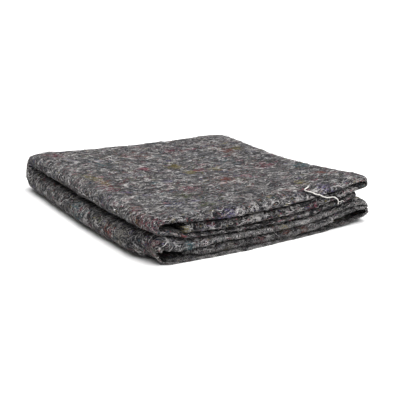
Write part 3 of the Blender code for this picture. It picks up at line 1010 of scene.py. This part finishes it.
def make_felt():
    """The felt: a heather, dyes, wisps, rows of stitches with painted shade in their grooves, and slow
    changes, one over the other.
    """
    felt, tree, shader = new_material("recycled_felt")
    even_place = felt_place(tree, 1.0)
    combed = felt_place(tree, COMBED)
    curled = felt_place(tree, CURLED, turn=CURL_TURN)

    grain = add_noise(tree, combed, GRAIN_SIZE, detail=2.0, distortion=0.6, rough=0.62)
    tufts = add_noise(tree, combed, TUFT_SIZE, detail=1.5, distortion=1.4)
    clumps = add_noise(tree, combed, CLUMP_SIZE, detail=1.0, distortion=1.8)
    mixed = add_sum(tree, (grain, GRAIN_WEIGHT), (tufts, TUFT_WEIGHT), (clumps, CLUMP_WEIGHT))
    coloured = add_dyed(tree, add_ramp(tree, mixed, HEATHER), combed, curled)

    wisps = add_math(tree, "MAXIMUM", add_wisps(tree, combed, 0.0110, 0.075, 1.6),
                     add_wisps(tree, curled, 0.0150, 0.055, 2.2))
    coloured = add_mix(tree, add_math(tree, "MULTIPLY", wisps, WISP_SHARE), coloured, WISP_COLOUR)
    groove = add_stitch_rows(tree, even_place)
    # The grooves of the stitch rows are darkened by their depth: painted shade.
    coloured = add_mix(tree, add_math(tree, "MULTIPLY", groove, GROOVE_SHADE_SHARE), coloured, GROOVE_SHADE_COLOUR)
    slow = add_fade(tree, add_noise(tree, even_place, SLOW_SIZE, detail=2.0), 0.3, 0.7)
    coloured = add_mix(tree, 1.0, coloured, add_mix(tree, slow, *SLOW_COLOURS), blend="MULTIPLY")
    relief = add_sum(tree, (grain, 0.55), (tufts, 0.8), (wisps, 0.35), (groove, -0.22))
    finish(tree, shader, coloured, relief, 0.0014, 0.9,
           {"Roughness": FELT_ROUGHNESS, "Specular IOR Level": 0.12, "Sheen Weight": 0.12,
            "Sheen Roughness": 0.6})
    return felt


cloth_mesh.materials.append(make_felt())
print("felt of", len(cloth_mesh.materials[0].node_tree.nodes), "nodes")

# %% [markdown]
# The edging is a paler, coarser yarn, spun of short fibres. Fine noise stands for them in
# its colour and its relief, and noise of nine times that size for the places where the yarn
# is soiled or worn. One rule makes both yarns, and the loose thread's is the paler one.

# %% Make the edging yarn
STITCH_COLOURS = ((0.045, 0.044, 0.044, 1.0), (0.58, 0.57, 0.565, 1.0))
THREAD_COLOURS = ((0.46, 0.445, 0.425, 1.0), (0.76, 0.745, 0.715, 1.0))
SOIL_SIZE = 9


def add_fuzz(tree, size, detail):
    """Plain noise of this size in metres on the object's own place."""
    place = add_node(tree, "ShaderNodeTexCoord").outputs["Object"]
    return add_noise(tree, place, size, detail=detail)


def make_yarn(name, colours, grain):
    """A yarn between two colours, with fibres of about this size in metres."""
    yarn, tree, shader = new_material(name)
    fuzz = add_fuzz(tree, grain, 3.0)
    tone = add_sum(tree, (fuzz, 0.6), (add_fuzz(tree, grain * SOIL_SIZE, 1.0), 0.4))
    colour = add_mix(tree, add_fade(tree, tone, 0.40, 0.60), *colours)
    finish(tree, shader, colour, fuzz, 0.0004, 0.8,
           {"Roughness": 0.85, "Specular IOR Level": 0.25, "Sheen Weight": 0.15})
    return yarn


thread_yarn = make_yarn("edging_thread", THREAD_COLOURS, 0.0007)
stitch_yarn = make_yarn("edging_stitches", STITCH_COLOURS, 0.0008)
for piece in (thread, branch):
    piece.data.materials.append(thread_yarn)
print(thread_yarn.name, "and", stitch_yarn.name, "are ready")

# %% [markdown]
# Small things sewn to the cloth are made flat, at the cloth's edge, and are carried over by
# the same folding rule. For that, a place in the flat gets a third number, its height over
# the felt's middle. The rule is asked four more times, a hair's breadth to each side, and
# the two small steps across each other give the way the felt faces.

# %% Carry small things onto the folded cloth
HAIR = 0.0004


def kept_inside(u, v):
    """Flat places moved in from the cloth's edge, so that a hair to any side is still cloth."""
    return np.clip(u, 2 * HAIR, CLOTH_WIDTH - 2 * HAIR), np.clip(v, 2 * HAIR, CLOTH_LENGTH - 2 * HAIR)


def on_cloth(u, v, height):
    """Where a place of the flat cloth with a height over its middle lies after the folding."""
    inside_u, inside_v = kept_inside(u, v)
    step_u = unit(folded(inside_u + HAIR, inside_v) - folded(inside_u - HAIR, inside_v))
    step_v = unit(folded(inside_u, inside_v + HAIR) - folded(inside_u, inside_v - HAIR))
    facing = unit(np.cross(step_u, step_v))
    place = (folded(inside_u, inside_v) + step_u * (u - inside_u)[:, None]
             + step_v * (v - inside_v)[:, None] + facing * height[:, None])
    place[:, 2] = np.maximum(place[:, 2], LEAST_CLEARANCE)
    return place


def arrayed(template, count, pitch):
    """One mesh that holds a template many times over, a pitch apart along x."""
    holder = add_object("array_holder", template)
    row = holder.modifiers.new("row", "ARRAY")
    row.count = count
    row.use_relative_offset = False
    row.use_constant_offset = True
    row.constant_offset_displace = (pitch, 0.0, 0.0)
    return finished_mesh(holder)


print("a test place:", on_cloth(np.array([1.0]), np.array([0.5]), np.array([0.001])).round(4))

# %% [markdown]
# The edge is overlocked: one looped stitch every 2.4 mm wraps the cut edge from face to
# face. One stitch is a thin three-sided tube in the shape of a long letter C, made once by
# extruding a small face from place to place, and a row of them is an Array. The row is then
# bent by the folding rule along each of the four sides, with a little slant and a width that
# varies by chance.

# %% Sew the overlocked edge
STITCH_PITCH = 0.0024
STITCH_WIDTH = 0.0052
STITCH_THREAD = 0.00050
STITCH_SLANT = 0.0011
STITCH_SINK = 0.55
LEG_STEPS = (0.12, 0.55, 1.0)
EDGE_SLACK = 1.15
SIDE_MARGIN = 0.0008
WIDTH_RANGE, SLANT_SPREAD, PITCH_SPREAD = (0.82, 1.12), 0.35, 0.00016


def stitch_template():
    """One C-shaped stitch over the edge: x runs along the edge, y into the cloth, z is height."""
    shape = bmesh.new()
    bmesh.ops.create_circle(shape, segments=3, radius=STITCH_THREAD, cap_ends=True)
    upright = Matrix.Rotation(math.pi / 2, 3, "X")
    bmesh.ops.rotate(shape, verts=shape.verts, cent=(0, 0, 0), matrix=upright)
    lift = FELT_THICKNESS / 2 + STITCH_THREAD * STITCH_SINK
    bmesh.ops.translate(shape, verts=shape.verts, vec=(0, STITCH_WIDTH, lift))
    end = list(shape.faces)
    stations = []
    for step in reversed(LEG_STEPS[:-1]):
        stations.append((Vector((0, STITCH_WIDTH * step, lift)), 0.0))
    for angle in (math.pi / 4, math.pi / 2, math.pi * 3 / 4):
        around = Vector((0, -lift * EDGE_SLACK * math.sin(angle), lift * math.cos(angle)))
        stations.append((around, angle))
    for step in LEG_STEPS:
        stations.append((Vector((0, STITCH_WIDTH * step, -lift)), math.pi))
    place, turned = Vector((0, STITCH_WIDTH, lift)), 0.0
    for station, angle in stations:
        grown = bmesh.ops.extrude_face_region(shape, geom=end)
        corners = [item for item in grown["geom"] if isinstance(item, bmesh.types.BMVert)]
        bmesh.ops.delete(shape, geom=end, context="FACES_KEEP_BOUNDARY")
        end = [item for item in grown["geom"] if isinstance(item, bmesh.types.BMFace)]
        bmesh.ops.translate(shape, verts=corners, vec=station - place)
        turn = Matrix.Rotation(angle - turned, 3, "X")
        bmesh.ops.rotate(shape, verts=corners, cent=station, matrix=turn)
        place, turned = station, angle
    bmesh.ops.recalc_face_normals(shape, faces=shape.faces)
    bmesh.ops.triangulate(shape, faces=shape.faces)
    return taken_mesh("stitch", shape)


stitch = stitch_template()
print("one stitch has", len(stitch.polygons), "triangles")


def sewn_side(name, length, flat_place, seed):
    """A row of stitches along one side of the flat cloth, folded with it. The rule flat_place
    turns places along the side and inward from it into places on the cloth."""
    count = int(length / STITCH_PITCH)
    mesh = arrayed(stitch, count, STITCH_PITCH)
    x, y, z = corners_of(mesh).T
    number = np.clip(np.rint(x / STITCH_PITCH), 0, count - 1).astype(int)
    picks = np.random.default_rng(seed)
    wide = picks.uniform(*WIDTH_RANGE, count)[number]
    slant = picks.normal(1.0, SLANT_SPREAD, count)[number]
    shift = picks.normal(0.0, PITCH_SPREAD, count)[number]
    inward = np.where(y > 0, y * wide, y)
    slanted = STITCH_SLANT * slant * np.clip(inward / STITCH_WIDTH, 0, 1.2) * np.sign(z)
    along = x + STITCH_PITCH / 2 + shift + slanted
    along = np.clip(along, SIDE_MARGIN, length - SIDE_MARGIN)
    u, v = flat_place(along, inward)
    mesh.vertices.foreach_set("co", on_cloth(u, v, z).ravel())
    mesh.shade_smooth()
    mesh.materials.append(stitch_yarn)
    return add_object(name, mesh)


SIDES = [
    ("edging_long_inner", CLOTH_LENGTH, lambda along, inward: (inward, along)),
    ("edging_long_outer", CLOTH_LENGTH, lambda along, inward: (CLOTH_WIDTH - inward, along)),
    ("edging_short_inner", CLOTH_WIDTH, lambda along, inward: (along, inward)),
    ("edging_short_outer", CLOTH_WIDTH, lambda along, inward: (along, CLOTH_LENGTH - inward)),
]
stitches = [sewn_side(*side, seed) for seed, side in enumerate(SIDES, start=21)]
print(sum(len(side.data.polygons) for side in stitches), "triangles in the edging")

# %% [markdown]
# Torn fibres stand off the felt everywhere. They soften its outline and draw pale curls and
# small tufts of one dye on it. Thousands of them are one mesh, so one fibre has to be cheap:
# a thin closed spindle of three sides, cut into five lengths so that it can curl.

# %% Shape one fibre
FIBRE_SEGMENTS = 5
FIBRE_PITCH = 2.0
FIBRE_TIP = 0.22


def fibre_template():
    """A three-sided spindle of unit radius from x = 0 to x = 1."""
    shape = bmesh.new()
    bmesh.ops.create_cone(shape, cap_ends=True, segments=3, radius1=1.0, radius2=1.0, depth=1.0)
    lying = Matrix.Rotation(math.pi / 2, 3, "Y")
    bmesh.ops.rotate(shape, verts=shape.verts, cent=(0, 0, 0), matrix=lying)
    bmesh.ops.translate(shape, verts=shape.verts, vec=(0.5, 0, 0))
    long_edges = [edge for edge in shape.edges
                  if abs(edge.verts[0].co.x - edge.verts[1].co.x) > 0.5]
    bmesh.ops.subdivide_edges(shape, edges=long_edges, cuts=FIBRE_SEGMENTS - 1, use_grid_fill=True)
    for vertex in shape.verts:
        swell = FIBRE_TIP + (1 - FIBRE_TIP) * max(math.sin(math.pi * vertex.co.x), 0.0) ** 0.7
        vertex.co.y *= swell
        vertex.co.z *= swell
    bmesh.ops.triangulate(shape, faces=shape.faces)
    bmesh.ops.recalc_face_normals(shape, faces=shape.faces)
    return taken_mesh("fibre", shape)


fibre = fibre_template()
print("one fibre has", len(fibre.polygons), "triangles")

# %% [markdown]
# Fibres are spread by chance over the parts of the cloth that show, so patches of the strip
# and their shares say where. Tufts of one dye were pulled out by use, and each lies in its
# own place, so a list gives them: how far along a stack, how far from the fold at the front,
# how wide, which dye and how many fibres. One Array makes all the fibres in a row, and each
# is curled, shortened where the cloth is drawn out, and laid on by the rule. Most run along
# the cloth, as it was combed.

# %% Choose where the fibres lie
Patch = namedtuple("Patch", "start end near far share")
FIBRE_PATCHES = [
    Patch(along_at("right_fold", 0.6), along_at("left_roll", 0.6), 0.000, 0.415, 0.50),
    Patch(along_at("left_roll", 0.0) - 0.012, along_at("left_roll", 1.0) + 0.022, 0.000, 0.744, 0.22),
    Patch(along_at("right_fold", 0.0) - 0.014, along_at("right_fold", 1.0) + 0.008, 0.002, 0.742, 0.09),
    Patch(0.012, STRIP_LENGTH - 0.008, -0.004, 0.010, 0.07),
    Patch(along_at("under", 30), STRIP_LENGTH - 0.008, 0.736, 0.7495, 0.06),
    Patch(along_at("tucked", 50), along_at("tucked", 300), 0.736, 0.7495, 0.06),
]
STRETCH_LIMITS = (0.7, 4.0)
CURVE_POINTS = 40
PAST_CREASE, PAST_EDGE = 0.0038, 0.0005
FLYING_SHARE, LYING_RISE, SUNK_IN = 0.16, 0.0004, 0.00020
Tuft = namedtuple("Tuft", "stack x y across along pick count")
TUFT_SHARE = 2.1
TUFT_ACROSS, TUFT_ALONG = 0.85, 0.55
CRIMSON, BRICK, OCHRE, MOSS, TEAL = 0.58, 0.67, 0.73, 0.78, 0.84
NAVY, VIOLET, ROSE, OATMEAL = 0.89, 0.94, 0.98, 0.50
TUFTS = {
    "outer": [
        (32, 338, 9, 10, CRIMSON, 26), (24, 205, 12, 9, OCHRE, 26), (30, 180, 12, 8, OCHRE, 24),
        (22, 150, 12, 10, CRIMSON, 30), (30, 172, 9, 9, BRICK, 24), (115, 221, 6, 8, CRIMSON, 22),
        (158, 215, 9, 13, OCHRE, 46), (163, 176, 7, 12, OCHRE, 24), (113, 103, 9, 14, ROSE, 34),
        (178, 183, 6, 9, CRIMSON, 18), (273, 251, 10, 13, BRICK, 38), (292, 254, 7, 9, OCHRE, 20),
        (274, 151, 7, 12, CRIMSON, 26), (203, 174, 6, 8, OCHRE, 20), (305, 112, 9, 14, TEAL, 34),
        (105, 2, 6, 13, VIOLET, 28), (250, 43, 6, 9, OCHRE, 26), (259, 8, 7, 12, VIOLET, 26),
        (181, 119, 10, 18, BRICK, 34), (216, 116, 7, 11, ROSE, 20), (300, 62, 8, 11, BRICK, 22),
        (89, 31, 7, 12, MOSS, 24), (87, 76, 9, 12, MOSS, 22), (66, 52, 12, 16, NAVY, 24),
        (240, 205, 14, 20, TEAL, 24), (140, 290, 16, 22, BRICK, 26),
        (205, 300, 14, 20, CRIMSON, 20), (70, 260, 14, 18, TEAL, 20),
    ],
    "left_roll": [(0.12, 11, 12, 11, CRIMSON, 34), (0.45, 30, 10, 8, BRICK, 14)],
    "tucked": [(46, 1, 5, 5, OCHRE, 22), (47, 1, 4, 5, OATMEAL, 22), (240, 0, 4, 9, CRIMSON, 12)],
    "under": [(44, 0, 4, 7, BRICK, 10)],
    "lower_under": [(53, 1, 5, 6, TEAL, 34), (190, 3, 4, 8, OCHRE, 14)],
    "lower_tucked": [
        (158, 3, 4, 8, CRIMSON, 16), (227, 4, 4, 5, BRICK, 16), (109, 3, 4, 5, OATMEAL, 30),
    ],
    "lower_left_roll": [
        (0.45, 98, 9, 8, BRICK, 22), (0.5, 187, 12, 9, TEAL, 20), (0.6, 66, 8, 9, OATMEAL, 40),
        (0.5, 12, 12, 12, ROSE, 10), (0.5, 10, 9, 10, OATMEAL, 40),
    ],
}


def flat_centre(tuft):
    """Where the middle of a tuft lies on the flat cloth, on the packet's outside."""
    stack = tuft.stack.removeprefix("lower_")
    column = column_of(stack, tuft.x)
    whole = np.interp(column, column_steps, across_total)
    from_crease = half_width * tuft.y * MM / whole
    v = along_at(stack, tuft.x) * half_length / STRIP_LENGTH
    return half_width + (from_crease if stack == tuft.stack else half_width - from_crease), v


def fibre_centres(count, picks, tufts):
    """Flat places for fibres: a number in each patch by its share, then the tufts."""
    u_list, v_list, pick_list = [], [], []
    for patch in FIBRE_PATCHES:
        number = int(count * patch.share)
        u_list.append(half_width + picks.uniform(patch.near, patch.far, number))
        v_list.append(picks.uniform(patch.start, patch.end, number) * half_length / STRIP_LENGTH)
        pick_list.append(picks.uniform(0, 1, number) ** 1.7)
    for tuft in tufts:
        u, v = flat_centre(tuft)
        number = int(tuft.count * TUFT_SHARE)
        u_list.append(u + picks.normal(0, TUFT_ACROSS * tuft.across * MM, number))
        v_list.append(v + picks.normal(0, TUFT_ALONG * tuft.along * MM, number))
        pick_list.append(np.full(number, tuft.pick))
    return np.concatenate(u_list), np.concatenate(v_list), np.concatenate(pick_list)


def stretched(u, v):
    """How many times longer the cloth's outside is than its flat place, at a flat place."""
    u, v = kept_inside(u, v)
    longer = np.linalg.norm(folded(u, v + HAIR) - folded(u, v - HAIR), axis=1) / (2 * HAIR)
    return np.clip(longer, *STRETCH_LIMITS)


def laid_fibres(name, count, seed, tufts, longest, thick, fly):
    """Curled fibres laid on the folded cloth, as one mesh with a random value for each fibre."""
    picks = np.random.default_rng(seed)
    middle_u, middle_v, pick = fibre_centres(count, picks, tufts)
    number = len(middle_u)
    long = picks.uniform(0.30, 1.0, number) ** 1.5 * longest
    stretch = stretched(middle_u, middle_v)
    heading = picks.normal(0.0, 1.0, number) * (0.42 + np.clip(stretch - 1.2, 0, 0.8))
    bend = picks.normal(0.0, 1.3, number)
    wiggle, phase = picks.normal(0.0, 0.55, number), picks.uniform(0, 2 * math.pi, number)
    radius = picks.uniform(0.6, 1.0, number) * thick
    flies = picks.uniform(0, 1, number) < FLYING_SHARE
    flying_rise = picks.uniform(0.4, 1.0, number) * fly
    rise = np.where(flies, flying_rise, picks.uniform(0.0, LYING_RISE, number))
    mesh = arrayed(fibre, number, FIBRE_PITCH)
    x, y, z = corners_of(mesh).T
    which = np.clip(np.floor((x + 0.25) / FIBRE_PITCH).astype(int), 0, number - 1)
    share = x - which * FIBRE_PITCH

    steps = np.linspace(0, 1, CURVE_POINTS + 1)[:, None]
    turn = heading + bend * (steps - 0.5) + wiggle * np.sin(2 * math.pi * steps * 1.5 + phase)
    run_u = np.cumsum(np.sin(turn), axis=0) * long / CURVE_POINTS
    run_v = np.cumsum(np.cos(turn), axis=0) * long / CURVE_POINTS / stretch
    run_u += middle_u - run_u[CURVE_POINTS // 2]
    run_v += middle_v - run_v[CURVE_POINTS // 2]
    station = np.rint(share * CURVE_POINTS).astype(int)
    angle = turn[station, which]
    u = run_u[station, which] + y * radius[which] * np.cos(angle)
    v = run_v[station, which] - y * radius[which] * np.sin(angle)
    u = np.clip(u, half_width - PAST_CREASE, CLOTH_WIDTH + PAST_EDGE)
    arched = rise[which] * np.sin(math.pi * share)
    lift = FELT_THICKNESS / 2 - SUNK_IN + arched + z * radius[which] * 0.8
    mesh.vertices.foreach_set("co", on_cloth(u, v, lift).ravel())
    write_uv(mesh, "fibre", np.stack([pick[which], share], axis=1))
    mesh.shade_smooth()
    return add_object(name, mesh)


pale_fibres = laid_fibres("pale_fibres", 5700, 31, [], longest=0.020, thick=0.00042, fly=0.0022)
dyed_fibres = laid_fibres("dyed_fibres", 3500, 32, by_stack(Tuft, TUFTS), longest=0.015,
                          thick=0.00036, fly=0.0018)
loose_fibres = [pale_fibres, dyed_fibres]
print([len(fibres.data.polygons) for fibres in loose_fibres], "faces in the two sorts of fibres")

# %% [markdown]
# Each fibre has one colour from end to end, so the random value that was kept for it in the
# first number of its UV picks the colour. Pale ones lie between grey and nearly white. Dyed
# ones ask the chart, and are mixed with some grey, because a dye is never pure in felt.

# %% Colour the fibres
PALE_RANGE = ((0.20, 0.195, 0.20, 1.0), (0.76, 0.74, 0.73, 1.0))
GREY_SHARE, GREY = 0.44, (0.17, 0.165, 0.17, 1.0)
SHADE_RANGE = ((0.62, 0.62, 0.62, 1.0), (1.12, 1.12, 1.12, 1.0))
FUZZ_SIZE = 1 / 900


def make_fibre(name, dyed):
    """The look of the dyed or the pale fibres."""
    fibre_look, tree, shader = new_material(name)
    marks = add_node(tree, "ShaderNodeUVMap", uv_map="fibre").outputs["UV"]
    pick = add_node(tree, "ShaderNodeSeparateXYZ", {"Vector": marks}).outputs["X"]
    if dyed:
        body = add_mix(tree, GREY_SHARE, add_dye(tree, pick), GREY)
    else:
        body = add_mix(tree, add_fade(tree, pick, 0.15, 1.0), *PALE_RANGE)
    fuzz = add_fuzz(tree, FUZZ_SIZE, 2.0)
    shade = add_mix(tree, add_fade(tree, fuzz, 0.35, 0.65), *SHADE_RANGE)
    finish(tree, shader, add_mix(tree, 1.0, body, shade, blend="MULTIPLY"), fuzz, 0.0002, 0.6,
           {"Roughness": 0.8, "Specular IOR Level": 0.2})
    return fibre_look


pale_fibres.data.materials.append(make_fibre("pale_fibre", False))
dyed_fibres.data.materials.append(make_fibre("dyed_fibre", True))
print("fibres coloured as", [fibres.data.materials[0].name for fibres in loose_fibres])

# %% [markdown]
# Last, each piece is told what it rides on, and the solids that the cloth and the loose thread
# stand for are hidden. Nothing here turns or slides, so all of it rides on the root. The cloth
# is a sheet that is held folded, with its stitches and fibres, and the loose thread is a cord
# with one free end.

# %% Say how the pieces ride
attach(cloth, "root")
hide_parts("blanket")
for side in stitches:
    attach(side, "root")
for fibres in loose_fibres:
    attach(fibres, "root")
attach(thread, "root")
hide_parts("thread_tail")
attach(branch, "root")
